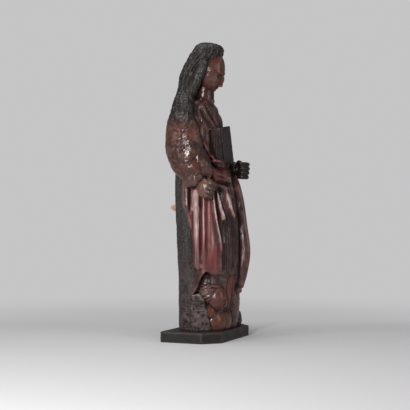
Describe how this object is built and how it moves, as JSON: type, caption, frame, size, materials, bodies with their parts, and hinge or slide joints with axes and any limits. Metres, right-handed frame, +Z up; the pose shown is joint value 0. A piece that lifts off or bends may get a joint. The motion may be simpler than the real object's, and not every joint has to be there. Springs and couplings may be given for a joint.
{
  "type": "carved wooden saint statue",
  "caption": "Standing long-haired figure carved in varnished wood, robed, with an upright book and closed fists, on rocky ground and a board with clipped front corners.",
  "frame": {"origin": "centre of the underside of the board", "axes": "+Z up, the figure faces -Y, +X is the figure's own left"},
  "size_m": [0.28, 0.1888, 0.799],
  "materials": {
    "varnished_wood": "dark brown, glossy worn varnish with red on the folds",
    "plinth_wood": "dark grey brown, satin, worn edges",
    "peg_wood": "pale bare wood, rough"
  },
  "bodies": {
    "root": {"figure": "varnished_wood", "plinth": "plinth_wood", "back_peg": "peg_wood"}
  },
  "joints": []
}
